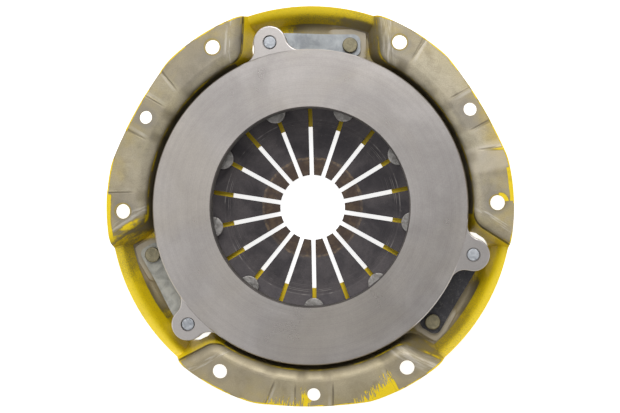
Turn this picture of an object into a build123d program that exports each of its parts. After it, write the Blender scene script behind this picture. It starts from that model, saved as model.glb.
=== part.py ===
from build123d import *
import math
import os

# Millimetres. Z = 0 is the face of the cover that bolts to the flywheel, and +Z points at the flywheel.
# The assembly lies on its back in its free, uninstalled state, with the friction face up.

# Friction ring and the radial chain out to the rim
plate_outer_r = 97.5
friction_width = 36.0
plate_gap = 4.0
lug_reach = 7.2
shelf_reach = 9.8
arch_wall_run = 6.0
lip_width = 4.5
flange_margin = 10.0

# Depths below the bolted face
friction_drop = 4.3
cover_depth = 32.8
shelf_rise = 6.6
lip_drop = 12.5
plate_travel = 5.5
travel_clearance = 0.5

# Bolted flange: holes, outline dips and shallow reliefs between the seating pads
sheet_t = 3.2
bolt_hole_r = 4.5
dowel_hole_r = 4.0
bolt_spread = 30.0
sector_angles = [30.0, 150.0, 270.0]
dip_depth = 2.8
dip_flatness = 137.0
dip_offset = -0.5
dip_blend_r = 40.0
relief_depth = 0.9
relief_run = 15.0
relief_ramp = 0.7
relief_zones = [(5.5, 24.4), (-14.0, -5.5)]

# Flange sectors: drafted walls, rounded corners and slanted ends
wall_draft = 5.0
strap_end_angle = 38.6
lug_end_angle = 41.0
sector_end_slant = 64.0
strap_end_draft = 18.0
lug_end_draft = 20.0
pad_corner_r = 12.0
shoulder_r = 6.5

# Back plate, cone and flared rim of the arches
opening_margin = 12.1
spring_clearance = 2.5
cone_run = 6.0
lip_slope = 15.0
back_bend_r = 4.0
cone_bend_r = 5.0
shelf_bend_r = 5.0
lip_bend_r = 9.0

# Lanced slit along the top of the end wall beside each lug
slit_gap = 2.0
slit_drop = 4.6
slit_near = 3.0
slit_length = 22.0

# Drive straps between the cover's seats and the lugs of the plate
cover_rivet_angle = 75.3
lug_rivet_angle = 102.45
strap_turns = [0.0, 120.0, 240.0]
leaf_count = 3
leaf_t = 0.8
leaf_gap = 0.02
strap_width = 14.0
strap_end = 6.5
strap_corner_r = 4.5
strap_flat = 7.0
strap_shank_r = 3.2
shank_clearance = 0.05
seat_rise = 1.8
seat_margin = 3.5
seat_length = 25.0
seat_corner_r = 4.5
cover_head_r = 4.8
cover_head_t = 2.4
cover_tail_r = 5.2
cover_tail_t = 2.2
access_margin = 6.2
access_hole_reach = 7.0
access_inset = 1.5
access_turn = 0.7

# Pressure plate
plate_chamfer = 0.6
lug_face_drop = 0.8
lug_r = 10.2
lug_blend_r = 9.0
lug_edge_r = 0.8
body_rise = 2.0
body_inner_margin = 1.3
body_outer_margin = 6.0
body_slope = 1.5
lug_tail_r = 3.9
lug_tail_inset = 0.3
counterbore_margin = 0.5
counterbore_depth = 2.2
lug_head_r = 5.8
lug_head_t = 2.2
ridge_inset = 3.0
ridge_nose_r = 2.0
ridge_flank = 22.0
ridge_gap = 9.0

# Diaphragm spring
spring_t = 2.3
spring_inset = 12.0
spring_arm = 17.0
spring_bend_inset = 4.1
finger_tip_r = 20.7
finger_tip_length = 11.3
cone_angle = 12.0
finger_angle = 5.0
tip_angle = 1.0
bend_radius = 12.0
finger_count = 18
slot_width = 2.7
first_slot_angle = 10.0
window_corner_r = 2.5
window_inner_gap = 1.1
window_outer_gap = 1.7
window_side_gap = 1.3
free_window_start = 0.7
free_window_length = 6.2
free_window_width = 6.0

# Fulcrum rings and the pivot rivets that hold them
wire_r = 1.75
wire_gap = 0.05
seat_gap = 0.02
pivot_shank_r = 3.0
pivot_head_r = 6.5
pivot_head_t = 2.3
pivot_head_edge = 0.5
pivot_tail_r = 4.7
pivot_tail_t = 2.2
tail_edge = 0.7

# Reach of the forms and cutters below the back plate, and the error allowed in finding an edge
form_margin = 12.0
edge_tolerance = 0.01

# Radii that follow from the ones above
plate_bore_r = plate_outer_r - friction_width
well_r = plate_outer_r + plate_gap
strap_rivet_r = plate_outer_r + lug_reach
shelf_outer_r = strap_rivet_r + shelf_reach
lip_inner_r = shelf_outer_r + arch_wall_run
rim_r = lip_inner_r + lip_width
far_r = rim_r + lip_width + arch_wall_run
bolt_circle_r = rim_r - flange_margin
dip_r = rim_r - dip_depth
dip_arc_r = rim_r + dip_flatness
spring_outer_r = plate_outer_r - spring_inset
cone_inner_r = spring_outer_r + spring_clearance
cone_outer_r = cone_inner_r + cone_run
ridge_r = spring_outer_r - ridge_inset
fulcrum_r = spring_outer_r - spring_arm
pivot_r = fulcrum_r - wire_r - wire_gap - pivot_shank_r
opening_r = pivot_r - opening_margin
pivot_window_inner_r = pivot_r - pivot_shank_r - window_inner_gap
pivot_window_outer_r = pivot_r + pivot_shank_r + window_outer_gap
pivot_window_width = 2 * (pivot_shank_r + window_side_gap)
free_window_inner_r = pivot_r + free_window_start
free_window_outer_r = free_window_inner_r + free_window_length
spring_bend_r = pivot_window_inner_r - spring_bend_inset
finger_bend_r = finger_tip_r + finger_tip_length
body_inner_r = pivot_r + pivot_head_r + body_inner_margin
body_outer_r = plate_outer_r - body_outer_margin
counterbore_r = lug_tail_r + counterbore_margin
access_hole_r = lug_head_r + access_margin
pivot_count = finger_count // 2
first_pivot_angle = first_slot_angle + 360.0 / finger_count

# Strap geometry that follows
strap_chord = 2 * strap_rivet_r * math.sin(math.radians((lug_rivet_angle - cover_rivet_angle) / 2))
strap_heading = (lug_rivet_angle + cover_rivet_angle) / 2 + 90.0
leaf_pitch = leaf_t + leaf_gap
stack_t = leaf_count * leaf_pitch

# Heights that follow, from the back plate up through rings, spring and rivet heads to the plate
back_z = -cover_depth
deep_z = back_z - form_margin
shelf_z = back_z + shelf_rise
lip_z = -lip_drop
friction_z = -friction_drop
lug_face_z = friction_z - lug_face_drop
seat_z = shelf_z + seat_rise
leaf_start_z = seat_z + leaf_gap
cone_tan = math.tan(math.radians(cone_angle))
cone_cos = math.cos(math.radians(cone_angle))
wire_reach = (wire_r + seat_gap) / cone_cos
ring_cover_z = back_z + seat_gap + wire_r
spring_under_z = ring_cover_z + wire_reach
spring_over_z = spring_under_z + spring_t / cone_cos
ring_plate_z = spring_over_z + wire_reach
pivot_head_z = ring_plate_z + wire_r + seat_gap
lug_underside_z = pivot_head_z + pivot_head_t + plate_travel + travel_clearance
body_underside_z = lug_underside_z - body_rise
leaf_rise = lug_underside_z - leaf_start_z - stack_t
ridge_nose_z = spring_over_z + (ridge_r - fulcrum_r) * cone_tan + (ridge_nose_r + seat_gap) / cone_cos


def polar(radius, angle):
    """Plan position at a radius and an angle in degrees."""
    return radius * math.cos(math.radians(angle)), radius * math.sin(math.radians(angle))


def turned(shape, angle):
    """Shape turned about the clutch's axis."""
    return Rot(0, 0, angle) * shape


def shifted(points, distance):
    """Section line moved sideways by a distance, downwards where the line runs outwards."""
    normals = []
    for (r0, z0), (r1, z1) in zip(points, points[1:]):
        length = math.hypot(r1 - r0, z1 - z0)
        normals.append(((z1 - z0) / length, (r0 - r1) / length))
    before = [normals[0]] + normals
    after = normals + [normals[-1]]
    moved = []
    for (r, z), (ar, az), (br, bz) in zip(points, before, after):
        scale = distance / (1 + ar * br + az * bz)
        moved.append((r + (ar + br) * scale, z + (az + bz) * scale))
    return moved


def section(points, radii):
    """Closed section in the plane of radius and height."""
    return Plane.XZ * make_face(FilletPolyline(*points, radius=radii, close=True))


def arch_form(depth):
    """Solid below the arches' surface, all round, sunk by a depth into the sheet."""
    lip_far_z = lip_z + (far_r - lip_inner_r) * math.tan(math.radians(lip_slope))
    surface = [
        (opening_r - depth, back_z),
        (cone_inner_r, back_z),
        (cone_outer_r, shelf_z),
        (shelf_outer_r, shelf_z),
        (lip_inner_r, lip_z),
        (far_r + depth, lip_far_z),
    ]
    line = shifted(surface, depth)
    floor = [(line[-1][0], deep_z - depth), (line[0][0], deep_z - depth)]
    bends = [back_bend_r + depth, cone_bend_r - depth, shelf_bend_r + depth, lip_bend_r - depth]
    return revolve(section(line + floor, [0] + bends + [0, 0, 0]), Axis.Z)


def sector_plan(inner_r, strap_shift, lug_shift, corner_r, z):
    """Plan of one flange sector about +X, with rounded corners and slanted ends."""
    corners = []
    far_points = []
    for side, end_angle, shift in ((1, strap_end_angle, strap_shift), (-1, lug_end_angle, lug_shift)):
        along = Vector(*polar(1, side * sector_end_slant))
        outward = Vector(*polar(1, side * (sector_end_slant + 90)))
        start = Vector(*polar(rim_r, side * end_angle)) + outward * shift
        lead = start.dot(along)
        reach = lead - math.sqrt(lead**2 - start.dot(start) + inner_r**2)
        corners.append(start - along * reach)
        far_points.append(start + along * (far_r - rim_r))
    outline = [
        ThreePointArc(corners[1], (inner_r, 0), corners[0]),
        Line(corners[0], far_points[0]),
        ThreePointArc(far_points[0], (2 * far_r - well_r, 0), far_points[1]),
        Line(far_points[1], corners[1]),
    ]
    plan = make_face(outline)
    inner_corners = plan.vertices().sort_by(Axis.X)[:2]
    return Pos(0, 0, z) * fillet(inner_corners, corner_r)


def sector_form(depth):
    """Solid below one flange sector's surface, about +X, sunk by a depth into the sheet."""
    plans = []
    for z in (-depth, deep_z):
        strap_shift = -z * math.tan(math.radians(strap_end_draft)) - depth
        lug_shift = -z * math.tan(math.radians(lug_end_draft)) - depth
        inner_r = well_r + z * math.tan(math.radians(wall_draft)) + depth
        plans.append(sector_plan(inner_r, strap_shift, lug_shift, pad_corner_r - depth, z))
    block = loft([plans[1], plans[0]], ruled=True)
    top_edges = block.edges().filter_by_position(Axis.Z, -depth - edge_tolerance, -depth + edge_tolerance)
    shoulder = [edge for edge in top_edges if Vector(edge.position_at(0.5)).length < rim_r]
    block = fillet(shoulder, shoulder_r - depth)
    for start, end in relief_zones:
        block -= relief_cut(start, end, -depth)
    return block


def relief_cut(start, end, top_z):
    """Shallow wedge between two seating pads of a sector, deepest at the rim, with sloped sides."""
    half_turn = (end - start) / 2
    levels = []
    for z, ramp in ((-relief_depth, relief_ramp), (relief_depth, -relief_ramp)):
        edges = [polar(well_r / 2, ramp - half_turn), polar(2 * rim_r, ramp - half_turn)]
        edges += [polar(2 * rim_r, half_turn - ramp), polar(well_r / 2, half_turn - ramp)]
        levels.append(Pos(-rim_r, 0, z + relief_depth) * make_face(Polyline(*edges, close=True)))
    tilt = math.degrees(math.atan(relief_depth / relief_run))
    wedge = Pos(rim_r, 0, top_z - relief_depth) * Rot(0, tilt, 0) * loft(levels, ruled=True)
    return turned(wedge, (start + end) / 2)


def seat_form(depth):
    """Raised seat below one strap's fixed end, along +X from its rivet."""
    length = seat_length - 2 * depth
    width = strap_width + 2 * seat_margin - 2 * depth
    middle = seat_length / 2 - strap_end - seat_margin
    top_z = seat_z - depth
    outline = Pos(middle, 0, deep_z) * RectangleRounded(length, width, seat_corner_r - depth)
    return extrude(outline, top_z - deep_z)


def cover_form(depth):
    """Everything below the cover's surface, sunk by a depth into the sheet."""
    form = arch_form(depth)
    for angle in sector_angles:
        form += turned(sector_form(depth), angle)
    for turn in strap_turns:
        form += strap_place(turn) * seat_form(depth)
    return form


def strap_place(turn):
    """Frame of one strap: origin on its cover rivet, +X towards its lug rivet."""
    x, y = polar(strap_rivet_r, cover_rivet_angle + turn)
    return Pos(x, y, 0) * Rot(0, 0, strap_heading + turn)


def outline_form():
    """Plan outline of the cover: a circle with three shallow dips, with the opening."""
    plan = Circle(rim_r)
    for angle in sector_angles:
        x, y = polar(dip_r - dip_arc_r, angle + dip_offset)
        plan &= Pos(x, y, 0) * Circle(dip_arc_r)
    plan = fillet(plan.vertices(), dip_blend_r)
    plan -= Circle(opening_r)
    return extrude(plan, -deep_z, both=True)


def slit_cut():
    """Lanced slit through the top of one sector's end wall, on its lug side, about +X."""
    along = Vector(*polar(1, -sector_end_slant))
    start = Vector(*polar(rim_r, -lug_end_angle)) - along * slit_near
    wall_middle = slit_drop * math.tan(math.radians(lug_end_draft)) - sheet_t / 2
    blade = Box(slit_length, 2 * sheet_t, slit_gap, align=(Align.MAX, Align.CENTER, Align.MAX))
    wall_line = Pos(start.X, start.Y, -slit_drop) * Rot(0, 0, -sector_end_slant)
    return wall_line * Pos(0, -wall_middle, 0) * blade


def hole(radius, top_z, bottom_z):
    """Cutter for a round hole about the Z axis."""
    return Pos(0, 0, bottom_z) * extrude(Circle(radius), top_z - bottom_z)


def cover():
    """Deep-drawn steel cover."""
    body = cover_form(0) - cover_form(sheet_t)
    body &= outline_form()
    for angle in sector_angles:
        body -= turned(slit_cut(), angle)
        body -= Pos(*polar(bolt_circle_r, angle)) * hole(dowel_hole_r, sheet_t, -2 * sheet_t)
        for spread in (-bolt_spread, bolt_spread):
            body -= Pos(*polar(bolt_circle_r, angle + spread)) * hole(bolt_hole_r, sheet_t, -2 * sheet_t)
    rivet_hole = hole(strap_shank_r + shank_clearance, 0, deep_z)
    access_hole = hole(access_hole_r, shelf_z + access_hole_reach, deep_z)
    for turn in strap_turns:
        body -= Pos(*polar(strap_rivet_r, cover_rivet_angle + turn)) * rivet_hole
        access_angle = lug_rivet_angle + turn + access_turn
        body -= Pos(*polar(strap_rivet_r - access_inset, access_angle)) * access_hole
    pivot_hole = hole(pivot_shank_r + seat_gap, 0, deep_z)
    for index in range(pivot_count):
        body -= Pos(*polar(pivot_r, pivot_angle(index))) * pivot_hole
    return body


def pivot_angle(index):
    """Angle of one pivot rivet about the axis."""
    return first_pivot_angle + index * 360.0 / pivot_count


def pressure_plate():
    """Cast ring with the turned friction face, three strap lugs and an interrupted fulcrum ridge."""
    plan = Circle(plate_outer_r)
    for turn in strap_turns:
        plan += Pos(*polar(strap_rivet_r, lug_rivet_angle + turn)) * Circle(lug_r)
    plan = fillet(plan.vertices(), lug_blend_r)
    body = extrude(Pos(0, 0, lug_underside_z) * plan, lug_face_z - lug_underside_z)
    lug_edges = [edge for edge in body.edges().group_by(Axis.Z)[-1] if edge.radius < plate_bore_r]
    body = fillet(lug_edges, lug_edge_r)
    disc = Pos(0, 0, lug_face_z) * extrude(Circle(plate_outer_r), friction_z - lug_face_z)
    body += chamfer(disc.edges().group_by(Axis.Z)[-1], plate_chamfer)
    rear = [
        (body_inner_r, lug_underside_z),
        (body_inner_r + body_slope, body_underside_z),
        (body_outer_r - body_slope, body_underside_z),
        (body_outer_r, lug_underside_z),
    ]
    body += revolve(section(rear, 0), Axis.Z)
    body += ridge()
    body -= hole(plate_bore_r, 0, deep_z)
    flare_t = 2 * plate_chamfer
    upwards = (Align.CENTER, Align.CENTER, Align.MIN)
    bore_flare = Cone(plate_bore_r, plate_bore_r + flare_t, flare_t, align=upwards)
    body -= Pos(0, 0, friction_z - plate_chamfer) * bore_flare
    shank_hole = hole(strap_shank_r + shank_clearance, 0, deep_z)
    counterbore = hole(counterbore_r, 0, lug_face_z - counterbore_depth)
    for turn in strap_turns:
        body -= Pos(*polar(strap_rivet_r, lug_rivet_angle + turn)) * (shank_hole + counterbore)
    return body


def ridge():
    """Fulcrum ridge on the plate's back, with a gap beside each pivot rivet."""
    flank = math.tan(math.radians(ridge_flank)) * (body_underside_z - ridge_nose_z)
    foot = ridge_nose_r + flank
    blade = [
        (ridge_r - foot, body_underside_z),
        (ridge_r - ridge_nose_r, ridge_nose_z),
        (ridge_r + ridge_nose_r, ridge_nose_z),
        (ridge_r + foot, body_underside_z),
    ]
    ring = revolve(section(blade, 0), Axis.Z)
    ring += Pos(0, 0, ridge_nose_z) * Torus(ridge_r, ridge_nose_r)
    gap = Box(2 * foot, ridge_gap, -deep_z)
    for index in range(pivot_count):
        x, y = polar(ridge_r, pivot_angle(index))
        low = Pos(x, y, body_underside_z + deep_z / 2) * Rot(0, 0, pivot_angle(index)) * gap
        ring -= low
    return ring


def diaphragm_spring():
    """Dished spring with slotted fingers."""
    bend_z = spring_under_z - (fulcrum_r - spring_bend_r) * cone_tan
    knee_z = bend_z - (spring_bend_r - finger_bend_r) * math.tan(math.radians(finger_angle))
    tip_z = knee_z - (finger_bend_r - finger_tip_r) * math.tan(math.radians(tip_angle))
    under = [
        (finger_tip_r, tip_z),
        (finger_bend_r, knee_z),
        (spring_bend_r, bend_z),
        (spring_outer_r, spring_under_z + (spring_outer_r - fulcrum_r) * cone_tan),
    ]
    over = shifted(under, -spring_t)
    outline = under + over[::-1]
    radii = [0, bend_radius + spring_t, bend_radius + spring_t, 0, 0, bend_radius, bend_radius, 0]
    body = revolve(section(outline, radii), Axis.Z)
    for index in range(finger_count):
        angle = first_slot_angle + index * 360.0 / finger_count
        pivoted = index % 2 == 1
        inner_r = pivot_window_inner_r if pivoted else free_window_inner_r
        outer_r = pivot_window_outer_r if pivoted else free_window_outer_r
        width = pivot_window_width if pivoted else free_window_width
        window = RectangleRounded(outer_r - inner_r, width, window_corner_r)
        slot = Pos((inner_r + window_corner_r) / 2, 0) * Rectangle(inner_r + window_corner_r, slot_width)
        plan = Pos((inner_r + outer_r) / 2, 0) * window + slot
        body -= turned(extrude(Pos(0, 0, deep_z) * plan, -deep_z), angle)
    return body


def fulcrum_ring(z):
    """Wire ring that the spring tilts on."""
    return Pos(0, 0, z) * Torus(fulcrum_r, wire_r)


def rivet(head, shank_r, tail, top_z, bottom_z):
    """Rivet about Z: head above top_z, shank, and formed tail below bottom_z."""
    head_r, head_t, head_edge = head
    tail_r, tail_t = tail
    outline = [
        (0, top_z + head_t),
        (head_r, top_z + head_t),
        (head_r, top_z),
        (shank_r, top_z),
        (shank_r, bottom_z),
        (tail_r, bottom_z),
        (tail_r, bottom_z - tail_t),
        (0, bottom_z - tail_t),
    ]
    radii = [0, head_edge, 0, 0, 0, 0, tail_edge, 0]
    return revolve(section(outline, radii), Axis.Z)


def pivot_rivet():
    """Rivet through the fulcrum rings, the spring and the back plate."""
    head = (pivot_head_r, pivot_head_t, pivot_head_edge)
    tail = (pivot_tail_r, pivot_tail_t)
    return rivet(head, pivot_shank_r, tail, pivot_head_z, back_z - sheet_t)


def strap_cover_rivet():
    """Rivet through one strap pack and its seat on the cover."""
    head = (cover_head_r, cover_head_t, tail_edge)
    tail = (cover_tail_r, cover_tail_t)
    return rivet(head, strap_shank_r, tail, leaf_start_z + stack_t, seat_z - sheet_t)


def strap_plate_rivet():
    """Rivet through one lug and the strap pack below it."""
    sunk_end = (lug_tail_r, counterbore_depth - lug_tail_inset, tail_edge)
    head = (lug_head_r, lug_head_t)
    return rivet(sunk_end, strap_shank_r, head, lug_face_z - counterbore_depth, lug_underside_z - stack_t)


def leaf_line(z):
    """Side view of a leaf's surface: flat ends joined by a smooth double bend."""
    far = strap_chord - strap_flat
    bend = Spline((strap_flat, z), (far, z + leaf_rise), tangents=((1, 0), (1, 0)))
    return [
        Line((-strap_end, z), (strap_flat, z)),
        bend,
        Line((far, z + leaf_rise), (strap_chord + strap_end, z + leaf_rise)),
    ]


def strap_leaf(level):
    """One leaf of a strap pack, in the strap's own frame."""
    low_z = leaf_start_z + level * leaf_pitch
    high_z = low_z + leaf_rise
    far_x = strap_chord + strap_end
    ends = [
        Line((-strap_end, low_z), (-strap_end, low_z + leaf_t)),
        Line((far_x, high_z), (far_x, high_z + leaf_t)),
    ]
    side = make_face(leaf_line(low_z) + leaf_line(low_z + leaf_t) + ends)
    body = extrude(Plane.XZ * side, strap_width / 2, both=True)
    plan = RectangleRounded(strap_chord + 2 * strap_end, strap_width, strap_corner_r)
    body &= extrude(Pos(strap_chord / 2, 0, deep_z) * plan, -deep_z)
    for x in (0, strap_chord):
        body -= Pos(x, 0, 0) * hole(strap_shank_r + shank_clearance, 0, deep_z)
    return body


def write(name, shape):
    """One STEP file for one named piece."""
    solids = shape.solids()
    piece = solids[0] if len(solids) == 1 else Compound(solids)
    export_step(piece, os.path.join("parts", name + ".step"))


os.makedirs("parts", exist_ok=True)

write("cover", cover())
write("pressure_plate", pressure_plate())
write("diaphragm_spring", diaphragm_spring())
write("fulcrum_ring_cover_side", fulcrum_ring(ring_cover_z))
write("fulcrum_ring_plate_side", fulcrum_ring(ring_plate_z))

pivot = pivot_rivet()
for index in range(pivot_count):
    write(f"pivot_rivet_{index + 1}", Pos(*polar(pivot_r, pivot_angle(index))) * pivot)

leaves = [strap_leaf(level) for level in range(leaf_count)]
cover_rivet = strap_cover_rivet()
plate_rivet = strap_plate_rivet()
for number, turn in enumerate(strap_turns, start=1):
    for level, leaf in enumerate(leaves, start=1):
        write(f"drive_strap_{number}_leaf_{level}", strap_place(turn) * leaf)
    write(f"strap_cover_rivet_{number}", Pos(*polar(strap_rivet_r, cover_rivet_angle + turn)) * cover_rivet)
    write(f"strap_plate_rivet_{number}", Pos(*polar(strap_rivet_r, lug_rivet_angle + turn)) * plate_rivet)
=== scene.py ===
import math

import bmesh
import bpy
from mathutils import Matrix, Vector


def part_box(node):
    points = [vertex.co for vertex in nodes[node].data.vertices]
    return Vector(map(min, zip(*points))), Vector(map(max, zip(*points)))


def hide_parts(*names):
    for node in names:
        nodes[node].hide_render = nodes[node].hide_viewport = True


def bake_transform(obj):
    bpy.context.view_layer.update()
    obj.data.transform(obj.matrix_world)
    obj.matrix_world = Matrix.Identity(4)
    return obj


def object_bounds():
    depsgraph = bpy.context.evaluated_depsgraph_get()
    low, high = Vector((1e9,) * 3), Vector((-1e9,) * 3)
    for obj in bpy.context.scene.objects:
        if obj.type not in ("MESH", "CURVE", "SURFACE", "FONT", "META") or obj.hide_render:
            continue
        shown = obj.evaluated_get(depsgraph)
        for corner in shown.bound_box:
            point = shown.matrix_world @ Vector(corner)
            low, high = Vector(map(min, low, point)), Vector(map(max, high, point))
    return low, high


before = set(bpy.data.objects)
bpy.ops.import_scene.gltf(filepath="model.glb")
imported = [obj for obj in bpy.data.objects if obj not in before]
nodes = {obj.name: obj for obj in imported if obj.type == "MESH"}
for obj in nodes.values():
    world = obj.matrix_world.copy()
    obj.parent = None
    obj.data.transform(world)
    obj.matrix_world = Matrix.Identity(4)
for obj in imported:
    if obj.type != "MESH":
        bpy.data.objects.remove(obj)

# Metres. The clutch cover lies on its back on a pale floor, with the friction face of its pressure plate up.
cad_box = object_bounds()

# Angles of the drive straps, in degrees, and where each strap's two rivets stand
strap_turns = [0.0, 120.0, 240.0]
leaf_count = 3
strap_rivet_radius = 0.1047
cover_rivet_angle = 75.3
lug_rivet_angle = 102.45
strap_clamped = 0.007
strap_bends = 14

# Outline of the cover's flange, in millimetres: its rim, its circle of bolt and dowel holes, and the large
# arc of the dip by each dowel hole, whose centre is past the axis
cover_rim = 125.0
hole_circle = 115.0
dip_centre = 139.8
dip_arc = 262.0

# Degrees about the axis: all the way round, from one flange sector to the next, between bolt holes, and where
# an arch, a sector with its dowel hole, and the dip by that hole have their middle. The finishes work in
# millimetres.
full_turn = 360.0
sector_pitch = 120.0
bolt_pitch = 60.0
arch_middle = 90.0
sector_middle = 30.0
dip_middle = 29.5
to_millimetres = 1000.0

# The diaphragm's outer cone bends between its fulcrum rings and the plate's ridge as the plate moves
finger_count = 18
finger_pitch = full_turn / finger_count
first_slot_angle = 10.0
cone_bends = 6
cone_bend_start = 0.0685
cone_bend_end = 0.0805

# Distances within which points are merged or count as on a cut, and the angle from which an edge is sharp
merge_distance = 0.000002
cut_distance = 0.000001
sharp_edge = math.radians(28)

# The photograph's camera stands almost above the clutch, a little to the right, and sees it turned slightly
camera_place = (0.0471, -0.0048, 0.75)
camera_tilt = 1.5
camera_turn = 1.315
camera_lens = 71.22
camera_shift = (-0.0714, 0.0135)

# The floor lies just under the cover. Its own glow and the sky's level make both show white.
floor_gap = 0.0002
floor_reach = 4.0
floor_glow = 0.82
sky_level = 0.45


def tone(red, green, blue):
    """A colour as it is seen, 0 to 255, made linear for a shader."""
    linear = []
    for part in (red, green, blue):
        share = part / 255.0
        if share <= 0.04045:
            linear.append(share / 12.92)
        else:
            linear.append(((share + 0.055) / 1.055) ** 2.4)
    return (*linear, 1.0)


def grey(level):
    return (level, level, level, 1.0)


class Wiring:
    """Adds nodes to one node tree and joins them."""

    def __init__(self, tree):
        self.tree = tree

    def feed(self, socket, value):
        """Joins a socket to another one, or sets it to a plain value."""
        if isinstance(value, bpy.types.NodeSocket):
            self.tree.links.new(value, socket)
        else:
            socket.default_value = value

    def add(self, kind, sockets=None, **settings):
        """A new node, with its settings made and its sockets fed."""
        node = self.tree.nodes.new(kind)
        for name, value in settings.items():
            setattr(node, name, value)
        for name, value in (sockets or {}).items():
            self.feed(node.inputs[name], value)
        return node

    def maths(self, operation, first, second=0.0, clamp=False):
        node = self.add("ShaderNodeMath", {0: first, 1: second}, operation=operation, use_clamp=clamp)
        return node.outputs[0]

    def plus(self, first, second):
        return self.maths("ADD", first, second)

    def minus(self, first, second):
        return self.maths("SUBTRACT", first, second)

    def times(self, first, second):
        return self.maths("MULTIPLY", first, second)

    def largest(self, first, *others):
        for other in others:
            first = self.maths("MAXIMUM", first, other)
        return first

    def between(self, share, first, second):
        """The first value where share is 0, and the second where it is 1."""
        return self.plus(first, self.times(share, self.minus(second, first)))

    def rise(self, value, low, high):
        """0 up to low, 1 from high on, and smooth between them."""
        sockets = {0: value, 1: low, 2: high, 3: 0.0, 4: 1.0}
        node = self.add("ShaderNodeMapRange", sockets, interpolation_type="SMOOTHSTEP", clamp=True)
        return node.outputs[0]

    def fall(self, value, low, high):
        """1 up to low, 0 from high on, and smooth between them."""
        return self.minus(1.0, self.rise(value, low, high))

    def band(self, value, start, full, fade, end):
        """1 between full and fade, and 0 outside start and end."""
        return self.times(self.rise(value, start, full), self.fall(value, fade, end))

    def scale(self, value, low, high):
        """A 0 to 1 value spread from low to high."""
        node = self.add("ShaderNodeMapRange", {0: value, 1: 0.0, 2: 1.0, 3: low, 4: high}, clamp=True)
        return node.outputs[0]

    def mix(self, share, first, second):
        return self.add("ShaderNodeMix", {0: share, 6: first, 7: second}, data_type="RGBA").outputs[2]

    def noise(self, place, scale, detail, roughness=0.5, distortion=0.0):
        sockets = {"Vector": place, "Scale": scale, "Detail": detail,
                   "Roughness": roughness, "Distortion": distortion}
        return self.add("ShaderNodeTexNoise", sockets).outputs[0]

    def line_noise(self, value, scale, detail):
        sockets = {"W": value, "Scale": scale, "Detail": detail}
        return self.add("ShaderNodeTexNoise", sockets, noise_dimensions="1D").outputs[0]

    def bump(self, height, distance, strength):
        sockets = {"Height": height, "Distance": distance, "Strength": strength}
        return self.add("ShaderNodeBump", sockets).outputs[0]


def new_group(name, inputs, outputs):
    """An empty node group, as (group, wiring, sockets that bring values in, sockets that take them out)."""
    group = bpy.data.node_groups.new(name, "ShaderNodeTree")
    for socket, kind in inputs:
        group.interface.new_socket(name=socket, in_out="INPUT", socket_type=kind)
    for socket, kind in outputs:
        group.interface.new_socket(name=socket, in_out="OUTPUT", socket_type=kind)
    wiring = Wiring(group)
    entry = wiring.add("NodeGroupInput")
    leave = wiring.add("NodeGroupOutput")
    return group, wiring, entry.outputs, leave.inputs


def polar_group():
    """Radius and height in millimetres and angle in degrees about the clutch's axis."""
    group, w, given, out = new_group(
        "place_about_axis",
        [("Place", "NodeSocketVector")],
        [("Radius", "NodeSocketFloat"), ("Angle", "NodeSocketFloat"), ("Height", "NodeSocketFloat")])
    parts = w.add("ShaderNodeSeparateXYZ", {0: given["Place"]}).outputs
    square = w.plus(w.times(parts[0], parts[0]), w.times(parts[1], parts[1]))
    w.feed(out["Radius"], w.times(w.maths("SQRT", square), to_millimetres))
    w.feed(out["Angle"], w.maths("DEGREES", w.maths("ARCTAN2", parts[1], parts[0])))
    w.feed(out["Height"], w.times(parts[2], to_millimetres))
    return group


def grain_group():
    """Uneven tone of worked steel: broad blotches, a fine grain and small dark specks."""
    group, w, given, out = new_group(
        "steel_grain",
        [("Place", "NodeSocketVector"), ("Blotch Scale", "NodeSocketFloat"),
         ("Grain Scale", "NodeSocketFloat")],
        [("Blotch", "NodeSocketFloat"), ("Grain", "NodeSocketFloat"), ("Specks", "NodeSocketFloat")])
    blotch = w.noise(given["Place"], given["Blotch Scale"], detail=5.0, roughness=0.6, distortion=0.6)
    w.feed(out["Blotch"], w.rise(blotch, 0.3, 0.7))
    grain = w.noise(given["Place"], given["Grain Scale"], detail=2.0, roughness=0.7)
    w.feed(out["Grain"], w.rise(grain, 0.25, 0.75))
    speck_scale = w.times(given["Grain Scale"], 0.35)
    specks = w.noise(given["Place"], speck_scale, detail=4.0, roughness=0.8)
    w.feed(out["Specks"], w.rise(specks, 0.62, 0.72))
    return group


polar = polar_group()
grain = grain_group()


def start_material(name):
    """A new material with its wiring, its surface shader and the place and direction of a point."""
    material = bpy.data.materials.new(name)
    material.use_nodes = True
    wiring = Wiring(material.node_tree)
    surface = material.node_tree.nodes["Principled BSDF"]
    texture = wiring.add("ShaderNodeTexCoord")
    return material, wiring, surface, texture.outputs["Object"], texture.outputs["Normal"]


def place_about_axis(w, place):
    spot = w.add("ShaderNodeGroup", {"Place": place}, node_tree=polar).outputs
    return spot["Radius"], spot["Angle"], spot["Height"]


def steel_grain(w, place, blotch_scale, grain_scale):
    sockets = {"Place": place, "Blotch Scale": blotch_scale, "Grain Scale": grain_scale}
    made = w.add("ShaderNodeGroup", sockets, node_tree=grain).outputs
    return made["Blotch"], made["Grain"], made["Specks"]


def around(w, angle, centre, turn=full_turn):
    """Degrees from one direction, or from the nearest of those that stand a turn apart, -turn/2 to turn/2."""
    moved = w.plus(angle, turn / 2 - centre + full_turn)
    return w.minus(w.maths("MODULO", moved, turn), turn / 2)


def point_distance(w, radius, angle, centre, turn, reach):
    """Millimetres from the nearest of the points that stand a turn apart, each this reach from the axis."""
    across = w.maths("COSINE", w.maths("RADIANS", around(w, angle, centre, turn)))
    cross = w.times(w.times(radius, across), 2.0 * reach)
    square = w.minus(w.plus(w.times(radius, radius), reach ** 2), cross)
    return w.maths("SQRT", w.largest(square, 0.0))


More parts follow.
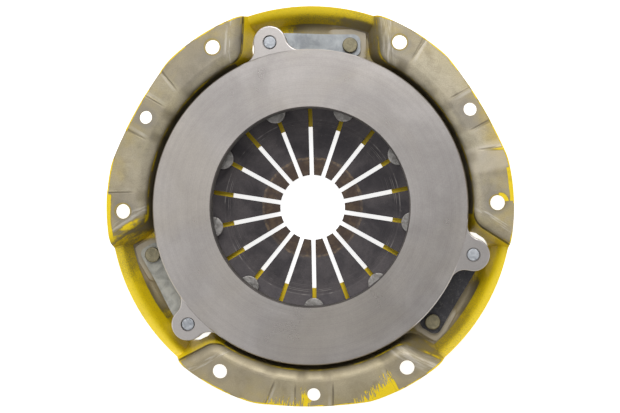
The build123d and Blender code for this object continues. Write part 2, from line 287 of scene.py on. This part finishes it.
def across_arches(w, angle):
    """Degrees from the middle of the nearest arch: the strap's fixed end is before it, the lug after it."""
    return around(w, angle, arch_middle, sector_pitch)


def crease(w, turn, radius, start, lean, width):
    """A mark across the flange at start degrees, that leans by some degrees for every millimetre inward."""
    line = w.plus(w.times(w.minus(124.0, radius), lean), start)
    away = w.maths("ABSOLUTE", w.minus(turn, line))
    thin = w.fall(away, width * 0.3, width)
    return w.times(thin, w.rise(radius, 107.0, 113.0))


def rim_distance(w, radius, angle):
    """Millimetres from the flange's outer edge, which is a circle with a shallow dip by each dowel hole."""
    from_centre = point_distance(w, radius, angle, dip_middle, sector_pitch, -dip_centre)
    return w.maths("MINIMUM", w.minus(cover_rim, radius), w.minus(dip_arc, from_centre))


def streaks(w, angle, radius, scale, low, high):
    """Brush marks that run outward from the axis."""
    comb = w.add("ShaderNodeCombineXYZ",
                 {0: w.times(angle, 0.9), 1: w.times(radius, 0.06), 2: 0.0}).outputs[0]
    return w.rise(w.noise(comb, scale, detail=3.0, roughness=0.6), low, high)


def patchy(w, ragged, low, high):
    """A share that wanders between low and high from place to place."""
    return w.scale(w.rise(ragged, -0.3, 0.3), low, high)


def paint_in_arches(w, radius, angle, height, ragged, fine):
    """Yellow paint inside the arches: thin and brown about each strap's fixed end, full by the lug."""
    turn = across_arches(w, angle)
    frayed_turn = w.plus(turn, w.times(ragged, 9.0))
    below_slit = w.fall(height, -6.9, -6.3)
    left_arch = w.band(around(w, angle, 210.0), -60.0, -50.0, 50.0, 60.0)
    right_arch = w.band(around(w, angle, 330.0), -60.0, -50.0, 50.0, 60.0)
    past_seat = w.rise(frayed_turn, -15.0, w.plus(-6.0, w.times(right_arch, 14.0)))
    by_lug = w.rise(frayed_turn, 0.0, 9.0)
    ledge = w.fall(height, -23.9, -22.8)
    lip = w.rise(w.plus(radius, ragged), 118.4, 121.4)
    rim = w.rise(w.plus(radius, w.times(ragged, 0.3)), 124.0, 124.5)
    on_ledge = w.plus(w.times(past_seat, 0.22), w.times(by_lug, 0.6))
    on_wall = w.plus(w.scale(past_seat, 0.34, 0.72), w.times(by_lug, 0.2))
    side_arches = w.times(w.largest(left_arch, right_arch), w.minus(1.0, by_lug))
    on_wall = w.plus(on_wall, w.times(side_arches, w.scale(past_seat, 0.34, 0.2)))
    on_lip = w.scale(past_seat, 0.75, 0.95)
    share = w.between(ledge, on_wall, on_ledge)
    share = w.between(lip, share, on_lip)
    share = w.largest(share, w.times(rim, 0.95))
    end_wall = w.fall(turn, -21.5, -18.5)
    dusty = w.plus(w.times(left_arch, 0.3), patchy(w, ragged, 0.15, 0.6))
    share = w.between(end_wall, share, dusty)
    lug_wall = w.times(w.rise(turn, 16.5, 18.5), w.minus(1.0, ledge))
    share = w.largest(share, w.times(lug_wall, w.scale(fine, 0.75, 0.95)))
    share = w.times(share, w.scale(fine, 0.72, 1.1))
    return w.times(w.times(share, below_slit), w.band(turn, -26.0, -22.0, 26.0, 27.0))


def paint_on_flange(w, radius, angle, height, ragged):
    """Overspray, brushed patches and yellow hole rims on the bolted flange, which is otherwise bare."""
    bolt_hole = point_distance(w, radius, angle, 0.0, bolt_pitch, hole_circle)
    rough_hole = w.plus(bolt_hole, w.times(ragged, 0.7))
    from_rim = w.plus(rim_distance(w, radius, angle), w.times(ragged, 0.9))
    brush = w.minus(streaks(w, angle, radius, 3.2, 0.3, 0.7), 0.5)

    # The brushed patch beside the lowest dowel hole widens inward and ends sharply by the next bolt hole
    along_patch = around(w, angle, 288.0)
    width = w.plus(w.times(w.rise(along_patch, -7.5, 6.0), 9.5), 0.6)
    brushed_edge = w.plus(w.minus(width, from_rim), w.times(brush, 9.0))
    patch = w.times(w.rise(brushed_edge, -0.6, 1.2), w.band(along_patch, -8.0, -6.5, 6.6, 7.2))
    below = w.plus(w.minus(2.0, from_rim), w.times(brush, 10.0))
    light_brush = w.times(w.rise(below, -1.0, 3.0), w.band(around(w, angle, 261.0), -6.0, -5.0, 4.0, 6.0))
    by_dowel = w.band(w.plus(around(w, angle, 267.6), w.times(brush, 1.6)), -1.5, -0.6, 0.9, 1.3)
    brushed_radius = w.plus(radius, w.times(brush, 8.0))
    by_dowel = w.times(by_dowel, w.rise(brushed_radius, 111.5, 116.0))

    # A yellow patch at the right edge that reaches the bolt hole there, and marks at the left edge
    right_patch = w.times(w.band(around(w, angle, 5.2), -4.9, -4.7, 4.7, 5.0), w.fall(from_rim, 2.2, 2.8))
    hole_side = w.times(w.band(around(w, angle, 1.9), -1.8, -1.3, 0.8, 1.6),
                        w.times(w.rise(radius, 114.5, 116.5), patchy(w, ragged, 0.55, 1.0)))
    hole_side = w.times(hole_side, w.fall(rough_hole, 6.6, 7.6))
    left_edge = w.times(w.band(around(w, angle, 182.0), -7.5, -6.5, 6.0, 8.0), w.fall(from_rim, 2.0, 3.4))
    left_slope = w.minus(around(w, angle, 187.0), w.times(w.minus(radius, 122.0), 0.25))
    left_slope = w.times(w.band(left_slope, -1.8, -0.2, 1.2, 2.8), patchy(w, ragged, 0.4, 0.95))

    # Yellow in the right sector's crease, on the holes' rims and along the edge, and dust on the walls below
    seam = crease(w, w.plus(around(w, angle, 15.4), w.times(ragged, 0.25)), radius, 0.0, 0.12, 0.7)
    seam = w.times(seam, w.scale(w.rise(radius, 110.0, 123.0), 0.1, 0.75))
    rims = w.fall(rough_hole, 5.2, 5.7)
    upward = w.times(radius, w.maths("SINE", w.maths("RADIANS", angle)))
    top_holes = w.rise(w.plus(upward, ragged), -12.0, 2.0)
    rims = w.times(rims, w.scale(top_holes, 0.08, 0.5))
    worn = w.rise(w.line_noise(w.times(angle, 0.09), 1.0, 3.0), 0.38, 0.52)
    edge_line = w.times(w.fall(from_rim, 0.5, 1.1), w.scale(worn, 0.2, 0.95))
    ragged_height = w.plus(height, w.times(ragged, 2.5))
    gap_dust = w.band(ragged_height, -18.0, -12.0, -6.5, -2.8)
    gap_dust = w.times(gap_dust, patchy(w, ragged, 0.25, 0.85))
    return w.largest(patch, light_brush, by_dowel, right_patch, hole_side, left_edge, left_slope, seam, rims,
                     edge_line, gap_dust)


def bare_cover_steel(w, place, radius, angle, height, ragged, grains):
    """Unpainted drawn steel: grey seating pads, beige reliefs between them, creases and draw marks, with
    painted shade and painted highlights along the creases, in the shoulder's hollows, down the walls and by
    the lugs.
    """
    blotch, fine, specks = grains
    turn = around(w, angle, sector_middle, sector_pitch)
    end_turn = across_arches(w, angle)
    bolt_hole = point_distance(w, radius, angle, 0.0, bolt_pitch, hole_circle)
    dowel_hole = point_distance(w, radius, angle, sector_middle, sector_pitch, hole_circle)
    relief = w.largest(w.band(turn, -14.4, -13.2, -6.0, -5.0), w.band(turn, 5.2, 6.4, 23.6, 24.8))
    pad = w.times(w.minus(1.0, relief), w.rise(radius, 104.0, 106.5))
    colour = w.mix(blotch, tone(166, 158, 137), tone(186, 176, 153))
    colour = w.mix(w.times(pad, w.scale(blotch, 0.75, 0.4)), colour, tone(146, 139, 127))
    tinted = w.rise(w.noise(place, 30.0, detail=4.0, roughness=0.6), 0.48, 0.7)
    colour = w.mix(w.times(tinted, 0.35), colour, tone(180, 166, 108))
    grimy = w.rise(w.noise(place, 75.0, detail=6.0, roughness=0.7, distortion=0.5), 0.46, 0.7)
    colour = w.mix(w.times(grimy, 0.42), colour, tone(112, 103, 84))
    right_mist = w.band(around(w, angle, 20.0), -11.0, -5.0, 8.0, 18.0)
    ragged_radius = w.plus(radius, w.times(ragged, 5.0))
    mist = w.times(w.rise(ragged_radius, 111.0, 123.0),
                   w.plus(w.scale(tinted, 0.1, 0.45), w.times(right_mist, 0.35)))
    colour = w.mix(mist, colour, tone(206, 178, 76))
    colour = w.mix(w.times(fine, 0.3), colour, tone(108, 99, 82))
    colour = w.mix(w.times(specks, 0.35), colour, tone(88, 80, 64))
    by_bolt = w.fall(w.plus(bolt_hole, ragged), 5.5, 8.5)
    by_dowel = w.fall(w.plus(dowel_hole, ragged), 5.0, 8.0)
    pressed = w.largest(by_bolt, by_dowel)
    colour = w.mix(w.times(pressed, 0.4), colour, tone(132, 127, 120))
    left_sector = w.band(around(w, angle, 150.0), -45.0, -35.0, 35.0, 45.0)
    colour = w.mix(w.times(left_sector, 0.16), colour, tone(112, 104, 88))
    light_relief = w.band(around(w, angle, 14.5), -5.5, -3.5, 3.0, 5.0)
    colour = w.mix(w.times(light_relief, 0.4), colour, tone(208, 198, 180))
    lower_sector = w.band(around(w, angle, 270.0), -45.0, -35.0, 35.0, 45.0)
    colour = w.mix(w.times(lower_sector, 0.35), colour, tone(164, 149, 112))

    # Creases where the sheet was pinched at the edges of the reliefs: a dark painted shade line beside a
    # painted highlight line
    dark = crease(w, turn, radius, -14.0, 0.09, 0.42)
    crease_highlight = crease(w, turn, radius, -13.3, 0.09, 0.5)
    for start, lean in ((-5.4, -0.03), (5.4, 0.06), (24.6, -0.05)):
        dark = w.largest(dark, crease(w, turn, radius, start, lean, 0.4))
        crease_highlight = w.largest(crease_highlight, crease(w, turn, radius, start - 1.0, lean, 0.7))
    uneven = w.rise(w.noise(place, 38.0, detail=2.0), 0.35, 0.6)
    colour = w.mix(w.times(dark, w.scale(uneven, 0.35, 0.75)), colour, tone(92, 84, 68))
    colour = w.mix(w.times(crease_highlight, w.scale(uneven, 0.45, 0.05)), colour, tone(202, 195, 182))

    # Painted shade in the hollows of the shoulder below the creases, the darker olive foot of the walls (a
    # tint that is also painted shade) and the strap seats' lighter steel
    shaded_hollow = w.largest(w.band(turn, -18.0, -15.0, -14.0, -11.5), w.band(turn, -6.5, -4.5, -3.5, -1.5),
                       w.band(turn, 2.0, 4.0, 5.0, 7.0), w.band(turn, 22.0, 24.5, 26.0, 28.5))
    shaded_hollow = w.times(shaded_hollow, w.band(radius, 98.0, 100.5, 103.0, 109.0))
    colour = w.mix(w.times(shaded_hollow, w.scale(uneven, 0.65, 0.25)), colour, tone(92, 83, 62))
    deep_shade_and_tint = w.fall(height, -12.0, -4.0)
    colour = w.mix(w.times(deep_shade_and_tint, 0.5), colour, tone(140, 126, 92))
    seat = w.times(w.band(end_turn, -22.0, -20.5, -8.5, -6.5), w.band(height, -25.8, -25.2, -23.6, -22.8))
    colour = w.mix(w.times(seat, 0.6), colour, tone(178, 170, 156))

    # Bright and dark draw marks that follow the two ends of each sector; the bright streak by each lug is
    # also a painted highlight
    leaning = w.times(radius, 0.28)
    strap_marks = streaks(w, w.minus(angle, leaning), radius, 1.1, 0.4, 0.62)
    lug_highlight_streaks = streaks(w, w.plus(angle, leaning), radius, 1.1, 0.46, 0.62)
    leaning_turn = w.minus(end_turn, leaning)
    strap_side = w.times(w.band(leaning_turn, -61.5, -59.5, -56.0, -54.5), w.rise(height, -12.0, -3.0))
    lug_side = w.times(w.band(w.plus(end_turn, leaning), 55.3, 56.2, 57.4, 58.4), w.rise(height, -5.6, -3.0))
    marks_and_highlight = w.largest(w.times(strap_marks, strap_side), w.times(lug_highlight_streaks, lug_side))
    colour = w.mix(w.times(marks_and_highlight, 0.4), colour, tone(214, 208, 198))
    dull = w.maths("MULTIPLY", w.minus(strap_side, marks_and_highlight), 0.3, clamp=True)
    colour = w.mix(dull, colour, tone(122, 115, 98))
    sunk = w.plus(dark, w.times(shaded_hollow, 3.0))
    marks = w.minus(w.times(marks_and_highlight, 0.5), sunk)
    return colour, marks


def cover_finish():
    """Bare drawn steel inside and on the flange, with yellow paint outside that reaches the arches."""
    material, w, surface, place, normal = start_material("drawn_steel_and_yellow_paint")
    radius, angle, height = place_about_axis(w, place)
    grains = steel_grain(w, place, 55.0, 1500.0)
    blotch, fine = grains[:2]
    ragged = w.scale(w.noise(place, 95.0, detail=6.0, roughness=0.65), -1.0, 1.0)
    facing = w.add("ShaderNodeSeparateXYZ", {0: normal}).outputs
    parts = w.add("ShaderNodeSeparateXYZ", {0: place}).outputs
    flat = w.add("ShaderNodeCombineXYZ", {0: parts[0], 1: parts[1], 2: 0.0}).outputs[0]
    radial = w.add("ShaderNodeVectorMath", {0: flat}, operation="NORMALIZE").outputs[0]
    outward = w.add("ShaderNodeVectorMath", {0: radial, 1: normal}, operation="DOT_PRODUCT").outputs["Value"]

    # All of the outside and the sheet's cut rim are painted
    outside = w.rise(w.minus(w.times(outward, 0.8), facing[2]), 0.02, 0.3)
    upright = w.fall(w.maths("ABSOLUTE", facing[2]), 0.35, 0.65)
    cut_rim = w.times(w.times(upright, w.rise(height, -3.9, -3.4)), w.rise(radius, 120.0, 121.0))
    back = w.fall(height, -32.0, -29.5)
    in_arches = paint_in_arches(w, radius, angle, height, ragged, fine)
    on_flange = paint_on_flange(w, radius, angle, height, ragged)
    on_flange = w.times(on_flange, w.rise(height, -14.0, -7.0))
    paint = w.largest(outside, cut_rim, back, in_arches, on_flange)
    bare, marks = bare_cover_steel(w, place, radius, angle, height, ragged, grains)

    # The paint is brown where it is only dust and full yellow where it is thick, with chips and grime
    thick = w.mix(w.scale(fine, 0.0, 0.35), tone(252, 220, 14), tone(214, 182, 8))
    grime = w.rise(w.noise(place, 42.0, detail=5.0, roughness=0.65, distortion=0.4), 0.54, 0.74)
    thick = w.mix(w.times(grime, 0.36), thick, tone(146, 120, 26))
    chips = w.rise(w.noise(place, 210.0, detail=3.0, roughness=0.7), 0.66, 0.69)
    chips = w.times(chips, outside)
    paint = w.times(paint, w.minus(1.0, w.times(chips, 0.8)))
    dusty = w.mix(blotch, tone(128, 112, 52), tone(160, 140, 62))
    coat = w.mix(w.rise(paint, 0.4, 0.9), dusty, thick)
    colour = w.mix(w.rise(paint, 0.05, 0.7), bare, coat)

    # Painted light: brighter yellow where the diaphragm's slots show the back plate, and a painted highlight
    # on the upward faces of the arches' rolled lip
    painted_slot_light = w.times(back, w.rise(facing[2], 0.5, 0.8))
    colour = w.mix(w.times(painted_slot_light, 0.85), colour, tone(255, 218, 26))
    turn = across_arches(w, angle)
    lip_highlight = w.times(w.band(turn, -22.0, -20.0, 22.0, 24.0), w.rise(radius, 119.6, 121.2))
    lip_highlight = w.times(w.times(lip_highlight, w.rise(facing[2], 0.1, 0.5)), paint)
    colour = w.mix(w.times(lip_highlight, 0.45), colour, tone(255, 226, 44))

    # Painted shadow in the crack of each lanced slit, with its bright cut edge
    by_slit = w.band(turn, 17.0, 18.5, 26.0, 28.0)
    slit_shadow = w.times(w.band(height, -7.6, -7.0, -4.8, -4.0), by_slit)
    colour = w.mix(w.times(slit_shadow, 0.75), colour, tone(48, 40, 24))
    cut_edge = w.times(w.band(height, -8.8, -8.2, -7.8, -7.3), by_slit)
    colour = w.mix(w.times(cut_edge, 0.8), colour, tone(250, 216, 40))
    w.feed(surface.inputs["Base Color"], colour)
    w.feed(surface.inputs["Metallic"], w.scale(paint, 0.5, 0.0))
    rough_bare = w.scale(blotch, 0.42, 0.58)
    w.feed(surface.inputs["Roughness"], w.plus(rough_bare, w.times(paint, -0.06)))
    relief = w.plus(w.times(fine, 0.5), w.times(ragged, 0.6))
    relief = w.plus(relief, w.times(marks, 2.0))
    relief = w.minus(relief, w.times(chips, 0.6))
    w.feed(surface.inputs["Normal"], w.bump(relief, 0.00014, 0.5))
    return material


def plate_finish():
    """Cast iron, with a friction face turned in fine rings and lugs milled flat."""
    material, w, surface, place, normal = start_material("turned_cast_iron")
    radius, _, height = place_about_axis(w, place)
    blotch, fine, specks = steel_grain(w, place, 26.0, 1300.0)
    facing = w.add("ShaderNodeSeparateXYZ", {0: normal}).outputs
    face_up = w.rise(facing[2], 0.8, 0.97)
    turned = w.times(face_up, w.rise(height, -4.95, -4.7))
    milled = w.times(w.minus(face_up, turned), w.rise(height, -8.2, -7.6))
    top_edges = w.times(w.rise(height, -6.4, -5.4), w.rise(radius, 90.0, 91.0))
    worked = w.largest(turned, milled, top_edges)
    rings = w.line_noise(radius, 3.1, 3.0)
    broad_rings = w.line_noise(radius, 0.28, 2.0)
    iron = w.mix(blotch, tone(82, 78, 76), tone(112, 106, 102))
    iron = w.mix(w.times(specks, 0.5), iron, tone(54, 50, 48))
    warm = w.rise(w.noise(place, 11.0, detail=3.0, roughness=0.55, distortion=0.8), 0.4, 0.65)
    face = w.mix(blotch, tone(170, 165, 162), tone(186, 181, 178))
    face = w.mix(w.times(warm, 0.3), face, tone(188, 178, 160))
    face = w.mix(w.times(w.rise(broad_rings, 0.3, 0.7), 0.16), face, tone(150, 143, 141))
    face = w.mix(w.times(w.rise(rings, 0.3, 0.75), 0.16), face, tone(120, 113, 111))
    face = w.mix(w.times(fine, 0.16), face, tone(110, 104, 102))
    lug = w.mix(w.times(fine, 0.25), tone(184, 179, 176), tone(150, 145, 142))
    colour = w.mix(turned, w.mix(w.largest(milled, top_edges), iron, lug), face)
    w.feed(surface.inputs["Base Color"], colour)
    w.feed(surface.inputs["Metallic"], w.scale(worked, 0.55, 0.85))
    rough_value = w.plus(w.scale(worked, 0.62, 0.27), w.times(blotch, 0.05))
    w.feed(surface.inputs["Roughness"], rough_value)
    ring_height = w.times(w.times(rings, turned), 0.6)
    cast_height = w.times(w.plus(fine, blotch), w.scale(worked, 0.8, 0.12))
    w.feed(surface.inputs["Normal"], w.bump(w.plus(ring_height, cast_height), 0.00008, 0.5))
    return material


def spring_finish():
    """Dark tempered spring steel, brown about the release fingers, with faint arcs from handling."""
    material, w, surface, place, _ = start_material("tempered_spring_steel")
    radius = place_about_axis(w, place)[0]
    blotch, fine, specks = steel_grain(w, place, 45.0, 1100.0)
    wander = w.scale(w.noise(place, 160.0, detail=4.0, roughness=0.7), -1.6, 1.6)
    from_hub = w.plus(radius, wander)
    steel = w.mix(blotch, tone(56, 53, 56), tone(84, 79, 80))
    steel = w.mix(w.times(fine, 0.3), steel, tone(44, 41, 41))
    heat = w.fall(from_hub, 29.0, 32.0)
    steel = w.mix(w.times(heat, w.scale(blotch, 0.9, 0.65)), steel, tone(66, 50, 38))
    mottle = w.rise(w.noise(place, 240.0, detail=4.0, roughness=0.7), 0.42, 0.68)
    steel = w.mix(w.times(w.times(heat, mottle), 0.3), steel, tone(116, 96, 72))
    fringe = w.band(from_hub, 30.2, 31.2, 31.7, 32.6)
    steel = w.mix(w.times(fringe, w.scale(mottle, 0.1, 0.5)), steel, tone(150, 126, 94))
    broken = w.rise(w.noise(place, 60.0, detail=3.0, roughness=0.6), 0.5, 0.62)
    arcs = w.times(w.rise(w.line_noise(radius, 1.3, 2.0), 0.6, 0.68),
                   w.times(w.band(radius, 46.0, 49.0, 58.0, 61.0), w.scale(broken, 0.1, 1.0)))
    steel = w.mix(w.times(arcs, 0.35), steel, tone(164, 158, 154))
    steel = w.mix(w.times(specks, 0.3), steel, tone(118, 110, 102))
    w.feed(surface.inputs["Base Color"], steel)
    w.feed(surface.inputs["Metallic"], w.scale(heat, 0.75, 0.5))
    rough_value = w.plus(w.scale(blotch, 0.36, 0.52), w.times(heat, 0.08))
    w.feed(surface.inputs["Roughness"], rough_value)
    relief = w.plus(w.times(fine, 0.5), w.times(arcs, 0.5))
    w.feed(surface.inputs["Normal"], w.bump(relief, 0.00006, 0.5))
    return material


def strap_finish(name, dark, light):
    """Blued strap steel with a mottled heat colour and rubbing marks along its length."""
    material, w, surface, place, _ = start_material(name)
    blotch, fine, specks = steel_grain(w, place, 150.0, 1500.0)
    steel = w.mix(blotch, dark, light)
    rubbed = w.rise(w.noise(place, 420.0, detail=4.0, roughness=0.7, distortion=1.0), 0.5, 0.66)
    steel = w.mix(w.times(rubbed, 0.16), steel, w.mix(0.6, light, tone(196, 192, 184)))
    steel = w.mix(w.times(specks, 0.35), steel, w.mix(0.5, dark, tone(70, 66, 60)))
    w.feed(surface.inputs["Base Color"], steel)
    w.feed(surface.inputs["Metallic"], w.scale(rubbed, 0.4, 0.6))
    w.feed(surface.inputs["Roughness"], w.scale(blotch, 0.42, 0.56))
    w.feed(surface.inputs["Normal"], w.bump(w.plus(fine, rubbed), 0.00005, 0.5))
    return material


def rivet_finish(name, dark, light, shine):
    """Headed rivet steel: faint forging marks on the head and dull scale beside them."""
    material, w, surface, place, _ = start_material(name)
    blotch, fine, specks = steel_grain(w, place, 320.0, 1900.0)
    steel = w.mix(blotch, dark, light)
    steel = w.mix(w.times(fine, 0.3), steel, dark)
    steel = w.mix(w.times(specks, 0.45), steel, tone(78, 72, 62))
    w.feed(surface.inputs["Base Color"], steel)
    w.feed(surface.inputs["Metallic"], w.scale(blotch, shine - 0.15, shine))
    w.feed(surface.inputs["Roughness"], w.scale(blotch, 0.34, 0.52))
    w.feed(surface.inputs["Normal"], w.bump(w.plus(fine, blotch), 0.0001, 0.6))
    return material


def wire_finish():
    """Drawn wire, bright with fine marks round its length and brown lubricant in places."""
    material, w, surface, place, _ = start_material("drawn_fulcrum_wire")
    radius = place_about_axis(w, place)[0]
    blotch, fine = steel_grain(w, place, 180.0, 1700.0)[:2]
    drawn = w.line_noise(radius, 7.0, 2.0)
    steel = w.mix(blotch, tone(112, 106, 98), tone(158, 152, 144))
    steel = w.mix(w.times(drawn, 0.4), steel, tone(92, 84, 70))
    w.feed(surface.inputs["Base Color"], steel)
    w.feed(surface.inputs["Metallic"], w.scale(blotch, 0.75, 0.95))
    w.feed(surface.inputs["Roughness"], w.scale(fine, 0.28, 0.45))
    w.feed(surface.inputs["Normal"], w.bump(drawn, 0.00005, 0.5))
    return material


def dress(node, material):
    """Gives a carried-over CAD node its finish."""
    for place in nodes[node].material_slots:
        place.material = material


def new_object(name, data):
    made = bpy.data.objects.new(name, data)
    bpy.context.scene.collection.objects.link(made)
    return made


def smooth(mesh):
    """Rounds the shading of a mesh, but for its sharp edges."""
    mesh.shade_smooth()
    mesh.set_sharp_from_angle(angle=sharp_edge)


def cut_across(work, place, direction, keep_all=True):
    """Cuts a mesh by a plane, and drops what lies past it unless all is kept."""
    everything = work.verts[:] + work.edges[:] + work.faces[:]
    bmesh.ops.bisect_plane(work, geom=everything, dist=cut_distance, plane_co=place, plane_no=direction,
                           clear_outer=not keep_all)


def cut_bends(work, start, end, bends, direction):
    """Cuts a mesh into even steps from start to end, where it will bend."""
    for step in range(bends + 1):
        cut_across(work, start.lerp(end, step / bends), direction)


def merged_copy(node, name, material):
    """A copy of a CAD node with its loose triangles joined, which stands for that node."""
    mesh = nodes[node].data.copy()
    mesh.name = name
    work = bmesh.new()
    work.from_mesh(mesh)
    bmesh.ops.remove_doubles(work, verts=work.verts, dist=merge_distance)
    work.to_mesh(mesh)
    work.free()
    if "custom_normal" in mesh.attributes:
        mesh.attributes.remove(mesh.attributes["custom_normal"])
    smooth(mesh)
    mesh.materials.clear()
    mesh.materials.append(material)
    piece = new_object(name, mesh)
    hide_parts(node)
    return piece


def on_strap_circle(angle, height):
    """A point at an angle on the circle of the strap rivets."""
    turned = math.radians(angle)
    return Vector((strap_rivet_radius * math.cos(turned), strap_rivet_radius * math.sin(turned), height))


def spring_strap(number, turn, level, material):
    """One leaf of a drive strap, cut across in steps between its two rivets, where it bends."""
    node = f"drive_strap_{number}_leaf_{level}"
    leaf = merged_copy(node, f"spring_{node}", material)
    low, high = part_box(node)
    height = (low.z + high.z) / 2
    cover_end = on_strap_circle(cover_rivet_angle + turn, height)
    plate_end = on_strap_circle(lug_rivet_angle + turn, height)
    along = (plate_end - cover_end).normalized()
    start = cover_end + along * strap_clamped
    end = plate_end - along * strap_clamped
    work = bmesh.new()
    work.from_mesh(leaf.data)
    cut_bends(work, start, end, strap_bends, along)
    work.to_mesh(leaf.data)
    work.free()
    smooth(leaf.data)
    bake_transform(leaf)


def spring_finger(number, material):
    """One finger of the diaphragm with its share of the outer cone, cut across where the cone bends."""
    finger = merged_copy("diaphragm_spring", f"diaphragm_finger_{number}", material)
    middle = math.radians(first_slot_angle + (number - 0.5) * finger_pitch)
    outward = Vector((math.cos(middle), math.sin(middle), 0.0))
    start = outward * cone_bend_start
    end = outward * cone_bend_end
    work = bmesh.new()
    work.from_mesh(finger.data)
    for side in (-1.0, 1.0):
        seam = middle + side * math.radians(finger_pitch / 2)
        across = Vector((-math.sin(seam), math.cos(seam), 0.0)) * side
        cut_across(work, Vector((0.0, 0.0, 0.0)), across, keep_all=False)
        bmesh.ops.holes_fill(work, edges=[edge for edge in work.edges if edge.is_boundary], sides=0)
    cut_bends(work, start, end, cone_bends, outward)
    work.to_mesh(finger.data)
    work.free()
    smooth(finger.data)
    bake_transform(finger)


def seen_rays(w):
    """1 for rays from the camera, mirrored or let through, and the node's own Is Camera Ray."""
    path = w.add("ShaderNodeLightPath").outputs
    mirrored = w.largest(path["Is Glossy Ray"], path["Is Transmission Ray"])
    return w.largest(path["Is Camera Ray"], mirrored), path["Is Camera Ray"]


def studio_floor():
    """A plain pale floor that shows white and keeps the soft shadow under the cover."""
    work = bmesh.new()
    bmesh.ops.create_grid(work, x_segments=1, y_segments=1, size=floor_reach)
    bmesh.ops.translate(work, verts=work.verts, vec=(0.0, 0.0, cad_box[0][2] - floor_gap))
    mesh = bpy.data.meshes.new("studio_floor")
    work.to_mesh(mesh)
    work.free()
    floor = new_object("studio_floor", mesh)
    material = bpy.data.materials.new("pale_studio_floor")
    material.use_nodes = True
    w = Wiring(material.node_tree)
    material.node_tree.nodes.remove(material.node_tree.nodes["Principled BSDF"])
    seen = seen_rays(w)[0]
    diffuse = w.add("ShaderNodeBsdfDiffuse", {"Color": tone(232, 232, 232)})
    glow_strength = w.times(seen, floor_glow)
    glow = w.add("ShaderNodeEmission", {"Color": grey(1.0), "Strength": glow_strength})
    both = w.add("ShaderNodeAddShader", {0: diffuse.outputs[0], 1: glow.outputs[0]})
    w.feed(material.node_tree.nodes["Material Output"].inputs["Surface"], both.outputs[0])
    mesh.materials.append(material)


def studio_world():
    """Even soft light from all round, seen as white. Steel mirrors a canopy with a dark gap in it."""
    world = bpy.data.worlds.new("studio")
    bpy.context.scene.world = world
    world.use_nodes = True
    w = Wiring(world.node_tree)
    seen, from_camera = seen_rays(w)
    direction = w.add("ShaderNodeTexCoord").outputs["Generated"]
    parts = w.add("ShaderNodeSeparateXYZ", {0: direction}).outputs
    overhead = w.rise(parts[2], 0.35, 0.9)
    rightward = w.minus(parts[0], w.times(parts[1], 0.35))
    canopy = w.mix(w.rise(rightward, -0.15, 0.3), grey(1.0), grey(0.75))
    aside = w.add("ShaderNodeVectorMath", {0: direction, 1: (0.12, -0.22, 0.97)}, operation="DISTANCE")
    gap = w.fall(aside.outputs["Value"], 0.13, 0.31)
    canopy = w.mix(w.times(gap, 0.95), canopy, grey(0.0))
    mirrored = w.mix(overhead, grey(1.0), canopy)
    shown = w.mix(from_camera, mirrored, grey(1.0))
    colour = w.mix(seen, grey(sky_level), shown)
    background = world.node_tree.nodes["Background"].inputs
    w.feed(background["Color"], colour)
    w.feed(background["Strength"], 1.0)


def facing_matrix(place, aim, up):
    """Placement of a camera or lamp that looks from place to aim."""
    back = (place - aim).normalized()
    side = up.cross(back).normalized()
    top = back.cross(side)
    turned = Matrix((side, top, back)).transposed().to_4x4()
    turned.translation = place
    return turned


def soft_light(name, place, size, strength):
    """A soft light that points at the clutch and isn't seen itself."""
    data = bpy.data.lights.new(name, "AREA")
    data.shape = "RECTANGLE"
    data.size, data.size_y = size
    data.energy = strength
    lamp = new_object(name, data)
    lamp.matrix_world = facing_matrix(Vector(place), Vector((0.0, 0.0, 0.0)), Vector((0.0, 1.0, 0.0)))
    lamp.visible_camera = False


def photo_camera():
    """The camera of the photograph, with its lens shifted as the photograph is framed."""
    data = bpy.data.cameras.new("photo_camera")
    data.sensor_width = 36.0
    data.lens = camera_lens
    data.clip_end = 20.0
    data.shift_x, data.shift_y = camera_shift
    camera = new_object("photo_camera", data)
    turned = Matrix.Rotation(-math.radians(camera_turn), 3, "Z")
    toward = turned @ Vector((math.tan(math.radians(camera_tilt)), 0.0, 1.0)).normalized()
    place = turned @ Vector(camera_place)
    camera.matrix_world = facing_matrix(place, place - toward, turned @ Vector((0.0, 1.0, 0.0)))
    bpy.context.scene.camera = camera


photo_camera()
studio_world()
studio_floor()
soft_light("key_softbox", place=(0.12, 0.75, 1.0), size=(0.8, 0.6), strength=8.8)
soft_light("side_softbox", place=(-1.1, -0.1, 0.8), size=(0.8, 0.8), strength=1.5)

# Finishes of the carried-over pieces
cover_steel = cover_finish()
plate_iron = plate_finish()
spring_steel = spring_finish()
wire_steel = wire_finish()
pivot_steel = rivet_finish("pivot_rivet_steel", tone(134, 130, 126), tone(186, 183, 180), 0.8)
cover_rivet_steel = rivet_finish("cover_rivet_steel", tone(112, 106, 84), tone(150, 142, 116), 0.6)
plate_rivet_steel = rivet_finish("plate_rivet_steel", tone(140, 144, 150), tone(188, 191, 195), 0.8)

dress("cover", cover_steel)
dress("pressure_plate", plate_iron)
dress("fulcrum_ring_cover_side", wire_steel)
dress("fulcrum_ring_plate_side", wire_steel)
for node in nodes:
    if node.startswith("pivot_rivet"):
        dress(node, pivot_steel)
    if node.startswith("strap_cover_rivet"):
        dress(node, cover_rivet_steel)
    if node.startswith("strap_plate_rivet"):
        dress(node, plate_rivet_steel)

# Spring parts, cut across where they bend as the plate moves
strap_steels = [
    strap_finish("blued_strap_steel", tone(142, 146, 150), tone(176, 180, 183)),
    strap_finish("grey_strap_steel", tone(134, 134, 128), tone(174, 173, 165)),
    # The third strap's steel is the blued steel made near black: painted shade
    strap_finish("shaded_strap_steel", tone(42, 41, 44), tone(58, 57, 62)),
]
for number, turn in enumerate(strap_turns):
    for level in range(leaf_count):
        spring_strap(number + 1, turn, level + 1, strap_steels[number])

for number in range(1, finger_count + 1):
    spring_finger(number, spring_steel)

bpy.context.scene.view_settings.view_transform = "Standard"
